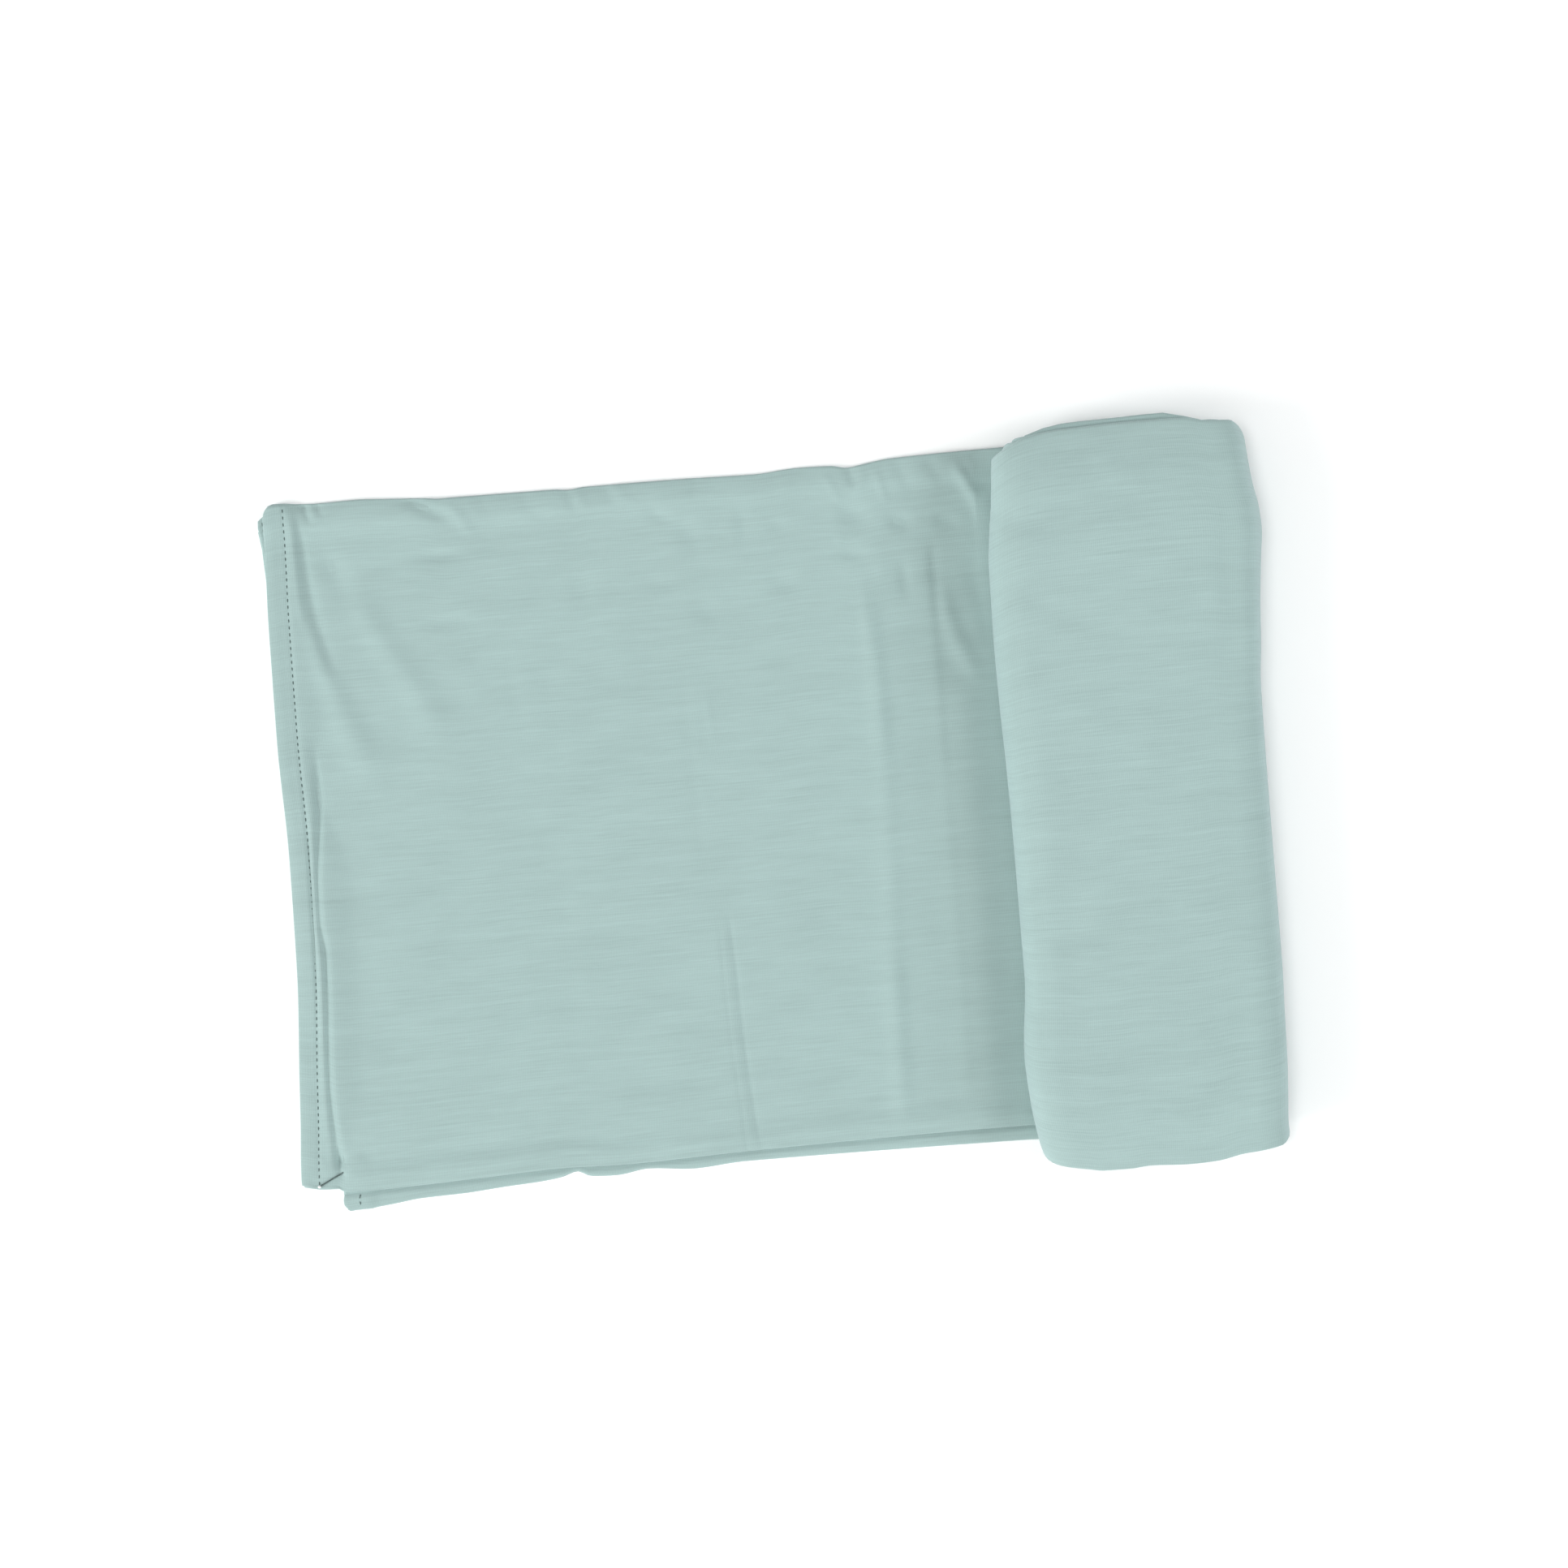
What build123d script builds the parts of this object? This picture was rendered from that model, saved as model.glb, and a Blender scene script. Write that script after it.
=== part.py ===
"""Stretch jersey baby wrap, folded lengthways to four plies, part rolled from one end and pinned.

+X runs along the folded strip from its hemmed end to the roll, +Y across the strip, +Z up.
The origin is on the surface it rests on, under the middle of the bounding box.
"""

import os
from math import cos, hypot, pi, radians, sin, sqrt

from build123d import *

# Driving dimensions, mm
ply = 0.8                  # one layer of jersey with its loft
ply_count = 4
hem = 10.0                 # width of every turned hem
overall_length = 432.0     # hemmed end to the far side of the roll
overall_width = 324.0      # the roll, end to end
strip_top = 151.5          # the folded strip's upper edge, the fold that all plies share
roll_width = 112.0
roll_height = 30.0
body_gap = 0.3             # air between the roll and the strip that it lies on
end_step = 3.5             # how far the inner turns stand out at the roll's upper end

# Straight edges of the folded strip, as the places where they start and end
front_low_start = (-213.0, -147.5)     # lower fold of the two front plies
front_low_end = (160.0, -141.5)
back_low_start = (-196.0, -155.5)      # lower fold of the two back plies
back_low_end = (160.0, -148.0)
back_top_start = (-213.5, 151.5)       # upper corner of the back plies' hem

# The front plies' hemmed edge bows in between its corners
front_hem_bottom = (-216.0, -147.5)
front_hem_middle = (-211.0, 0.0)
front_hem_top = (-210.0, 151.5)

stitch_pitch = 3.0
stitch_length = 2.1
stitch_width = 0.5
stitch_depth = 0.3
stitch_inset = 8.0         # from the folded edge of a hem to its stitch line

pin_length = 26.0
pin_diameter = 0.6
pin_head_diameter = 1.5
pin_point = 2.0
pin_head_place = (-208.5, -145.2)
pin_turn = 26.6            # degrees from +X, seen from above
pin_dip = 5.0              # degrees down from its head to its point
pin_clearance = 0.05       # all round the shaft, in the hole that it makes

# Worked out from them
strip = ply * ply_count
pitch = strip + body_gap
half_length = overall_length / 2
half_width = overall_width / 2
roll_start = half_length - roll_width
roll_middle = half_length - roll_width / 2
right_centre = (half_length - roll_height / 2, roll_height / 2)
left_centre = (roll_start + (roll_height - pitch) / 2, (roll_height + pitch) / 2)
tail_end = roll_middle - body_gap / 2

pin_axis = Vector(
    cos(radians(pin_turn)) * cos(radians(pin_dip)),
    sin(radians(pin_turn)) * cos(radians(pin_dip)),
    -sin(radians(pin_dip)),
)
pin_origin = Vector(*pin_head_place, strip + pin_head_diameter / 2)

os.makedirs("parts", exist_ok=True)


def save(piece, name):
    """Labels a finished piece and writes its STEP file."""
    piece.part.label = name
    export_step(piece.part, f"parts/{name}.step")


def along(start, end, x):
    """The Y of a straight edge at x."""
    return start[1] + (end[1] - start[1]) * (x - start[0]) / (end[0] - start[0])


def arc_x(bottom, middle, top, y):
    """The X at height y of the circular arc through three places."""
    turn_a = middle[0] ** 2 + middle[1] ** 2 - bottom[0] ** 2 - bottom[1] ** 2
    turn_b = top[0] ** 2 + top[1] ** 2 - middle[0] ** 2 - middle[1] ** 2
    a1, b1 = 2 * (middle[0] - bottom[0]), 2 * (middle[1] - bottom[1])
    a2, b2 = 2 * (top[0] - middle[0]), 2 * (top[1] - middle[1])
    det = a1 * b2 - a2 * b1
    centre_x = (turn_a * b2 - turn_b * b1) / det
    centre_y = (a1 * turn_b - a2 * turn_a) / det
    radius = hypot(bottom[0] - centre_x, bottom[1] - centre_y)
    side = 1 if bottom[0] > centre_x else -1
    return centre_x + side * sqrt(radius ** 2 - (y - centre_y) ** 2)


def front_edge_x(y):
    """The front plies' hemmed edge, at height y."""
    return arc_x(front_hem_bottom, front_hem_middle, front_hem_top, y)


def back_edge_x(y):
    """The back plies' hemmed edge, which lies askew under the front plies."""
    share = (y - back_low_start[1]) / (back_top_start[1] - back_low_start[1])
    return back_low_start[0] + (back_top_start[0] - back_low_start[0]) * share


def low_edge_y(layer, x):
    """The centre line of the lower fold that a layer turns round."""
    if layer >= 2:
        return along(front_low_start, front_low_end, x) + ply
    return along(back_low_start, back_low_end, x) + ply


def edge_x(layer, y):
    """The hemmed end of a layer, at height y. Layer 0 is the lowest."""
    return front_edge_x(y) if layer >= 2 else back_edge_x(y)


def corners(layer, top_y, inset):
    """The corners of a layer's hemmed end, inset from its folded edge."""
    corner_x = edge_x(layer, low_edge_y(layer, -half_length)) + inset
    low_y = low_edge_y(layer, corner_x)
    middle_y = (low_y + top_y) / 2
    low = (edge_x(layer, low_y) + inset, low_y)
    middle = (edge_x(layer, middle_y) + inset, middle_y)
    top = (edge_x(layer, top_y) + inset, top_y)
    return low, middle, top


def layer_plane(layer):
    return Plane.XY.offset(layer * ply)


def stitch_places(layer):
    """The middles of a hem's stitches, from its lower corner to its upper one."""
    low, _, top = corners(layer, fold_line, stitch_inset)
    count = int((top[1] - low[1] - stitch_pitch) / stitch_pitch)
    heights = [low[1] + stitch_pitch * (n + 1) for n in range(count)]
    return [(edge_x(layer, y) + stitch_inset, y) for y in heights]


fold_line = strip_top - strip / 2      # the upper fold's centre line
side_hem_line = fold_line - hem        # where the inner plies' side hems start
layer_names = ["back", "inner_back", "inner_front", "front"]
layer_tops = [fold_line, side_hem_line, side_hem_line, fold_line]

# The hole that the pin makes through the plies, as a plain cylinder
pin_plane = Plane(origin=pin_origin, z_dir=pin_axis)
with BuildPart() as pin_hole:
    with BuildSketch(pin_plane):
        Circle(pin_diameter / 2 + pin_clearance)
    extrude(amount=pin_length + 1.5)

# Four plies of the strip, each from its hem to under the middle of the roll
for layer, layer_name in enumerate(layer_names):
    low, middle, top = corners(layer, layer_tops[layer], hem)
    with BuildPart() as ply_sheet:
        with BuildSketch(layer_plane(layer)):
            with BuildLine():
                if layer >= 2:
                    ThreePointArc(low, middle, top)
                else:
                    Line(low, top)
                Polyline(
                    top,
                    (tail_end, layer_tops[layer]),
                    (tail_end, low_edge_y(layer, tail_end)),
                    low,
                )
            make_face()
        extrude(amount=ply)
        add(pin_hole.part, mode=Mode.SUBTRACT)
    save(ply_sheet, f"{layer_name}_ply")

# The turned hem across the end of each ply, with its stitches sunk flush into it
for layer, layer_name in enumerate(layer_names):
    outer = corners(layer, layer_tops[layer], 0)
    inner = corners(layer, layer_tops[layer], hem)
    with BuildPart() as end_hem:
        with BuildSketch(layer_plane(layer)):
            with BuildLine():
                if layer >= 2:
                    ThreePointArc(*outer)
                    ThreePointArc(*inner)
                else:
                    Line(outer[0], outer[2])
                    Line(inner[0], inner[2])
                Line(outer[0], inner[0])
                Line(outer[2], inner[2])
            make_face()
        extrude(amount=ply)
        with BuildSketch(layer_plane(layer + 1)):
            with Locations(*stitch_places(layer)):
                SlotOverall(stitch_length, stitch_width, rotation=90)
        extrude(amount=-stitch_depth, mode=Mode.SUBTRACT)
        add(pin_hole.part, mode=Mode.SUBTRACT)
    save(end_hem, f"{layer_name}_end_hem")

    with BuildPart() as stitches:
        with BuildSketch(layer_plane(layer + 1)):
            with Locations(*stitch_places(layer)):
                SlotOverall(stitch_length, stitch_width, rotation=90)
        extrude(amount=-stitch_depth)
        add(pin_hole.part, mode=Mode.SUBTRACT)
    save(stitches, f"{layer_name}_hem_stitches")

# The inner plies' long hemmed edges, which lie inside the upper fold
for layer, layer_name in [(1, "inner_back"), (2, "inner_front")]:
    hem_start = edge_x(layer, side_hem_line) + hem
    with BuildPart() as side_hem:
        with BuildSketch(layer_plane(layer)):
            with BuildLine():
                Polyline(
                    (hem_start, side_hem_line),
                    (tail_end, side_hem_line),
                    (tail_end, fold_line),
                    (hem_start, fold_line),
                    close=True,
                )
            make_face()
        extrude(amount=ply)
        long_edges = side_hem.edges().filter_by(Axis.X).group_by(Axis.Y)[-1]
        fillet(long_edges, ply * 0.45)
    save(side_hem, f"{layer_name}_side_hem")

# The upper fold, where the front ply turns round the inner plies into the back ply
with BuildPart() as top_fold:
    with BuildSketch(Plane.YZ.offset(front_hem_top[0])):
        with BuildLine():
            CenterArc((fold_line, strip / 2), strip / 2, -90, 180)
            CenterArc((fold_line, strip / 2), strip / 2 - ply, -90, 180)
            Line((fold_line, 0), (fold_line, ply))
            Line((fold_line, strip), (fold_line, strip - ply))
        make_face()
    extrude(amount=tail_end - front_hem_top[0])
save(top_fold, "top_fold")

# The two lower folds, each turning one ply into the next
for name, start, end, level in [
    ("lower_front_fold", front_low_start, front_low_end, 3 * ply),
    ("lower_back_fold", back_low_start, back_low_end, ply),
]:
    run = Vector(tail_end - start[0], along(start, end, tail_end) - start[1])
    fold_plane = Plane(
        origin=(start[0], start[1] + ply, level),
        x_dir=(run.Y, -run.X, 0),
        z_dir=(run.X, run.Y, 0),
    )
    with BuildPart() as low_fold:
        with BuildSketch(fold_plane):
            Circle(ply)
            Rectangle(2 * ply, 2 * ply, align=(Align.MAX, Align.CENTER), mode=Mode.SUBTRACT)
        extrude(amount=run.length)
    save(low_fold, name)


def turn_lengths():
    """The strip's length in each full turn of the roll, along its middle."""
    straight = right_centre[0] - left_centre[0]
    lengths = []
    for number in range(3):
        right = right_centre[1] - number * pitch - strip / 2
        left = (roll_height - pitch) / 2 - number * pitch - strip / 2
        lengths.append(pi * (right + left) + 2 * straight)
    return lengths


def roll_plane(low_y, high_y):
    """A plane of XZ sections, half way between the two ends of a turn."""
    return Plane(origin=(0, (low_y + high_y) / 2, 0), x_dir=(1, 0, 0), z_dir=(0, -1, 0))


# Three full turns, each from under the roll's middle, round, and back to there one pitch higher
turn_ends = [
    ("outer_turn", -half_width, half_width - end_step),
    ("second_turn", -half_width + end_step, half_width),
    ("third_turn", -half_width + 2 * end_step, half_width - end_step),
]
for number, (name, low_y, high_y) in enumerate(turn_ends):
    level = number * pitch
    top = roll_height - level
    right_radius = right_centre[1] - level
    left_radius = (roll_height - pitch) / 2 - level
    with BuildPart() as turn:
        with BuildSketch(roll_plane(low_y, high_y)):
            with BuildLine():
                for depth in (0, strip):
                    start = (roll_middle + body_gap / 2, level + depth)
                    Line(start, (right_centre[0], level + depth))
                    CenterArc(right_centre, right_radius - depth, -90, 180)
                    Line((right_centre[0], top - depth), (left_centre[0], top - depth))
                    CenterArc(left_centre, left_radius - depth, 90, 180)
                    back = level + pitch + depth
                    Line((left_centre[0], back), (roll_middle + body_gap / 2, back))
                for low in (level, level + pitch):
                    seam_x = roll_middle + body_gap / 2
                    Line((seam_x, low), (seam_x, low + strip))
            make_face()
        extrude(amount=(high_y - low_y) / 2, both=True)
    save(turn, name)

# The last part turn, which ends in the strip's far hem at the heart of the roll
core_level = 3 * pitch
core_top = roll_height - core_level
core_radius = right_centre[1] - core_level
core_half = half_width - 2 * end_step
far_hem_start = left_centre[0] + hem
with BuildPart() as core_turn:
    with BuildSketch(Plane.XZ):
        with BuildLine():
            for depth in (0, strip):
                start = (roll_middle + body_gap / 2, core_level + depth)
                Line(start, (right_centre[0], core_level + depth))
                CenterArc(right_centre, core_radius - depth, -90, 180)
                Line((right_centre[0], core_top - depth), (far_hem_start, core_top - depth))
            seam_x = roll_middle + body_gap / 2
            Line((seam_x, core_level), (seam_x, core_level + strip))
            Line((far_hem_start, core_top), (far_hem_start, core_top - strip))
        make_face()
    extrude(amount=core_half, both=True)
save(core_turn, "core_turn")

# The far hem faces the middle of the roll, with its stitches sunk flush into its inner face
far_count = int(2 * core_half / stitch_pitch) - 1
far_plane = Plane.XY.offset(core_top - strip)
with BuildPart() as far_end_hem:
    with BuildSketch(far_plane):
        with Locations((left_centre[0] + hem / 2, 0)):
            Rectangle(hem, 2 * core_half)
    extrude(amount=strip)
    with BuildSketch(far_plane):
        with Locations((left_centre[0] + stitch_inset, 0)):
            with GridLocations(stitch_pitch, stitch_pitch, 1, far_count):
                SlotOverall(stitch_length, stitch_width, rotation=90)
    extrude(amount=stitch_depth, mode=Mode.SUBTRACT)
save(far_end_hem, "far_end_hem")

with BuildPart() as far_hem_stitches:
    with BuildSketch(far_plane):
        with Locations((left_centre[0] + stitch_inset, 0)):
            with GridLocations(stitch_pitch, stitch_pitch, 1, far_count):
                SlotOverall(stitch_length, stitch_width, rotation=90)
    extrude(amount=stitch_depth)
save(far_hem_stitches, "far_hem_stitches")

# The dressmaking pin: a straight shaft with a ground point, and a round metal head
with BuildPart() as pin_shaft:
    with BuildSketch(pin_plane):
        Circle(pin_diameter / 2)
    extrude(amount=pin_length - pin_point)
    point_plane = Plane(origin=pin_origin + pin_axis * (pin_length - pin_point), z_dir=pin_axis)
    with BuildSketch(point_plane):
        Circle(pin_diameter / 2)
    with BuildSketch(point_plane.offset(pin_point)):
        Circle(pin_diameter / 12)
    loft()
    with Locations(pin_plane):
        Sphere(pin_head_diameter / 2, mode=Mode.SUBTRACT)
save(pin_shaft, "pin_shaft")

with BuildPart() as pin_head:
    with Locations(pin_plane):
        Sphere(pin_head_diameter / 2)
save(pin_head, "pin_head")

tail_length = tail_end - front_hem_middle[0]
core_length = right_centre[0] - roll_middle + pi * (core_radius - strip / 2)
core_length += right_centre[0] - left_centre[0]
print("cloth length, hem to hem:", round(tail_length + sum(turn_lengths()) + core_length, 1))
print("folded width:", round(strip_top - front_low_start[1], 1))
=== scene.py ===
"""A stretch-jersey baby wrap, folded to four plies, part rolled and pinned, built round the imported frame.

Cloth shapes are worked out in millimetres, in the frame's axes, and written to meshes in metres.
Layers are numbered from the floor up: 0 back, 1 inner back, 2 inner front, 3 front.
"""

import math

import bpy
import numpy as np
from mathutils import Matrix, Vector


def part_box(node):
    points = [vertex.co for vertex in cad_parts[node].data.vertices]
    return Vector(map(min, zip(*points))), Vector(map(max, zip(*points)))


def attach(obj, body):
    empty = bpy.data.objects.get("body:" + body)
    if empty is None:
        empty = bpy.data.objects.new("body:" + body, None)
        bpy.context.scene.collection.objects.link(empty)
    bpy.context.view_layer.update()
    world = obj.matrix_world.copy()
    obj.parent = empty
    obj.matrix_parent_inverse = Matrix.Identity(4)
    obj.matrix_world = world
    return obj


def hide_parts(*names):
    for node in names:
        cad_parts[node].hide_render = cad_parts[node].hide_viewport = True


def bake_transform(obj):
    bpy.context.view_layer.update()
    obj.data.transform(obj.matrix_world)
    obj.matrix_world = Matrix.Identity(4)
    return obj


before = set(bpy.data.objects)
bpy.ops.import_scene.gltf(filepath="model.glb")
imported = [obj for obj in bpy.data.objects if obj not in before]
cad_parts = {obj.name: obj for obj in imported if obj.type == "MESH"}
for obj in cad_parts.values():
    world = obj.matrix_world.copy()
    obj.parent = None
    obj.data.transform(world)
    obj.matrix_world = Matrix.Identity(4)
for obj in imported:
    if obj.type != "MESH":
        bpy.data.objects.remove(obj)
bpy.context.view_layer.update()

mm = 0.001

# Cloth, in mm
thickness = 0.45
first_height = 0.3          # the middle of the lowest ply, above the floor
layer_gap = 0.8             # from the middle of one ply to the next
turned_gap = 0.56           # from a hem's upper layer to the layer turned in under it
pressed_gap = 0.5           # between the two front plies where they are pressed together
hem_width = 9.5
stitch_pitch = 3.0
turn_gap = 3.5              # from one turn of the roll to the next
strip_length = 374.0        # from the hemmed edge to under the roll's middle
course_pitch = 0.62         # from one row of loops to the next

# Where the hemmed end's corners are along Y, in mm
front_low_corner = -146.5
back_low_corner = -156.3
front_top_corner = 150.8
other_top_corner = 150.0


def in_mm(corner):
    return np.array(corner) / mm


# Places read from the frame, in mm
roll_low, roll_high = (in_mm(c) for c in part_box("outer_turn"))
roll_height = roll_high[2]
roll_middle = (roll_low[0] + roll_high[0]) / 2
right_centre = (roll_high[0] - roll_height / 2, roll_height / 2)
left_centre = (roll_low[0] + (roll_height - turn_gap) / 2, (roll_height + turn_gap) / 2)
head_low, head_high = (in_mm(c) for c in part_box("pin_head"))
pin_head_place = (head_low + head_high) / 2
pin_point = in_mm(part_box("pin_shaft")[1])
pin_reach = pin_point[:2] - pin_head_place[:2]
pin_way = pin_reach / float(np.hypot(*pin_reach))


# ---------------------------------------------------------------- small helpers

def smooth(x):
    """0 below 0, 1 above 1, and a smooth step between."""
    x = np.clip(x, 0.0, 1.0)
    return x * x * (3 - 2 * x)


def curve(x, points):
    """A smooth curve through a few (x, value) points, level beyond its ends."""
    px, py = (np.array(c, float) for c in zip(*points))
    rise = np.diff(py) / np.diff(px)
    same = rise[:-1] * rise[1:] > 0
    total = np.where(same, rise[:-1] + rise[1:], 1.0)
    slope = np.zeros(len(px))
    slope[1:-1] = np.where(same, 2 * rise[:-1] * rise[1:] / total, 0.0)
    x = np.clip(x, px[0], px[-1])
    n = np.clip(np.searchsorted(px, x, side="right") - 1, 0, len(px) - 2)
    span = px[n + 1] - px[n]
    t = (x - px[n]) / span
    a, b = t * t * (3 - 2 * t), t * (1 - t)
    return py[n] * (1 - a) + py[n + 1] * a + span * b * (slope[n] * (1 - t) - slope[n + 1] * t)


def bump(x, middle, width):
    return np.exp(-(((x - middle) / width) ** 2))


class Surface:
    """Heights over a rectangle, added up fold by fold, and read anywhere inside it."""

    def __init__(self, low, high, spacing=0.8):
        self.low, self.spacing = low, spacing
        across = np.arange(low[0], high[0], spacing)
        up = np.arange(low[1], high[1], spacing)
        self.x, self.y = np.meshgrid(across, up)
        self.z = np.zeros(self.x.shape)

    def along(self, points, reach):
        """The part of the surface near a smooth line, its distances, and the share of the line reached.

        Distances are positive on the line's left, for someone walking along it.
        """
        points = np.array(points, float)
        (left, bottom), (right, top) = points.min(axis=0) - reach, points.max(axis=0) + reach
        rows = slice(*np.clip([(bottom - self.low[1]) / self.spacing, (top - self.low[1]) / self.spacing],
                              0, self.z.shape[0]).astype(int))
        columns = slice(*np.clip([(left - self.low[0]) / self.spacing, (right - self.low[0]) / self.spacing],
                                 0, self.z.shape[1]).astype(int))
        x, y = self.x[rows, columns], self.y[rows, columns]
        knots = np.arange(len(points))
        t = np.linspace(0, knots[-1], 6 * len(points))
        line_x, line_y = curve(t, list(zip(knots, points[:, 0]))), curve(t, list(zip(knots, points[:, 1])))
        reached = np.concatenate([[0], np.cumsum(np.hypot(np.diff(line_x), np.diff(line_y)))])
        best, signed, share = np.full(x.shape, 1e9), np.zeros(x.shape), np.zeros(x.shape)
        for n in range(len(t) - 1):
            dx, dy = line_x[n + 1] - line_x[n], line_y[n + 1] - line_y[n]
            length = math.hypot(dx, dy)
            rx, ry = x - line_x[n], y - line_y[n]
            f = np.clip((rx * dx + ry * dy) / length ** 2, 0, 1)
            d = np.hypot(rx - f * dx, ry - f * dy)
            near = d < best
            best = np.where(near, d, best)
            signed = np.where(near, np.where(dx * ry - dy * rx > 0, d, -d), signed)
            share = np.where(near, (reached[n] + f * length) / reached[-1], share)
        return (rows, columns), signed, share

    def fold(self, points, width, height, fade=0.3, spread=0.0):
        """A soft ridge, or a valley where height is negative, that fades out at its ends and may widen."""
        part, d, share = self.along(points, 3 * width * (1 + spread))
        ends = smooth(share / fade) * smooth((1 - share) / fade)
        self.z[part] += height * np.exp(-((d / (width * (1 + spread * share))) ** 2)) * ends

    def crease(self, points, width, height, reach, fade=0.12):
        """A pressed crease: a short straight slope at the line, and a long one back, on the line's left."""
        part, d, share = self.along(points, reach)
        ends = smooth(share / fade) * smooth((1 - share) / fade)
        slope = np.clip((d + width) / (2 * width), 0, 1)
        self.z[part] += height * slope * np.clip(1 - d / reach, 0, 1) * ends

    def at(self, x, y):
        u = np.clip((x - self.low[0]) / self.spacing, 0, self.z.shape[1] - 1.001)
        v = np.clip((y - self.low[1]) / self.spacing, 0, self.z.shape[0] - 1.001)
        i, j = u.astype(int), v.astype(int)
        f, g = u - i, v - j
        below = self.z[j, i] * (1 - f) + self.z[j, i + 1] * f
        above = self.z[j + 1, i] * (1 - f) + self.z[j + 1, i + 1] * f
        return below * (1 - g) + above * g


def spaced(*runs):
    """Places from the end of one run to the end of the next: (end, spacing), after a first start."""
    places = [runs[0]]
    for end, spacing in runs[1:]:
        count = max(1, round(abs(end - places[-1]) / spacing))
        places += list(np.linspace(places[-1], end, count + 1)[1:])
    return np.array(places)


# ---------------------------------------------------------------- the flat strip's outline

def front_hem_x(y):
    """The front plies' hemmed edge, which bows in between its corners."""
    return curve(y, [
        (-147, -216.1), (-140, -215.9), (-120, -214.6), (-100, -213.6), (-50, -211.0), (0, -210.5),
        (50, -211.9), (100, -211.7), (125, -211.1), (140, -210.8), (152, -210.8),
    ])


def front_corner(y):
    """How far the front plies' two hemmed corners are rounded off."""
    return curve(y, [
        (-147, 0.15), (-145.5, 0.05), (-143.5, 0), (146, 0), (148.7, 0.2), (150.8, 0.8), (151.5, 1.4),
        (152.3, 2.5),
    ])


def back_hem_x(y):
    """The back plies' hemmed edge, askew under the front one."""
    return curve(y, [
        (-157, -198.6), (-153, -198.9), (-148, -197.9), (-138, -198.0), (-60, -202.8), (60, -209.3),
        (120, -211.6), (132, -212.2), (140, -213.2), (146, -214.1), (152, -214.0),
    ])


def back_corner(y):
    """How far the back plies' two hemmed corners are rounded off."""
    return curve(y, [
        (-157, 2.6), (-156.2, 1.0), (-154.5, 0), (145.3, 0), (146.9, 0.4), (147.8, 1.3), (148.5, 2.7),
        (149.0, 3.7), (149.5, 4.5), (150, 5.2), (151, 5.6),
    ])


def front_inset(y):
    """How far the front hem's stitches stand from its edge."""
    return curve(y, [(-147, 7.5), (-100, 7.6), (0, 8.5), (60, 8.8), (152, 8.8)])


def back_inset(y):
    """How far the back hem's stitches stand from its edge."""
    return curve(y, [(-156, 7.2), (80, 6.6), (122, 3.2), (135, 1.9), (150, 1.9)])


def strip_top(x):
    """The strip's upper folded edge."""
    return curve(x, [
        (-214, 151.6), (-209, 152.3), (-206, 153.2), (-202, 153.2), (-196, 152.6), (-188, 152.2),
        (-170, 152.5), (-156, 151.8), (-140, 150.9), (-134, 150.2), (-126, 150.3), (-84, 150.3),
        (-77, 149.7), (-70, 150.5), (-30, 150.6), (4, 150.2), (24, 151.6), (38, 151.3), (45, 150.0),
        (52, 151.0), (64, 152.6), (104, 153.6), (160, 154.0),
    ])


def front_strip_low(x):
    """The front plies' lower folded edge."""
    return curve(x, [
        (-216, -145.0), (-212, -145.7), (-208, -146.5), (-203, -146.7), (-200.5, -146.7), (-198.5, -147.8),
        (-196, -148.5), (-190, -148.6), (-171, -148.1), (-139, -146.8), (-100, -145.2), (-79, -145.7),
        (-22, -144.0), (21, -143.0), (105, -142.0), (160, -142.5),
    ])


def back_strip_low(x):
    """The back plies' lower folded edge, which shows below the front one."""
    return curve(x, [
        (-199, -156.9), (-196, -156.9), (-193, -156.6), (-187, -156.5), (-184, -156.0), (-177, -155.2),
        (-165, -153.7), (-145, -152.9), (-128, -151.5), (-112, -150.4), (-103, -149.2), (-96, -147.2),
        (-90, -149.7), (-79, -150.2), (-65, -148.4), (-45, -149.9), (-22, -148.4), (21, -148.2), (92, -148.4),
        (160, -150.0),
    ])


# ---------------------------------------------------------------- the front ply's folds and creases

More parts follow.
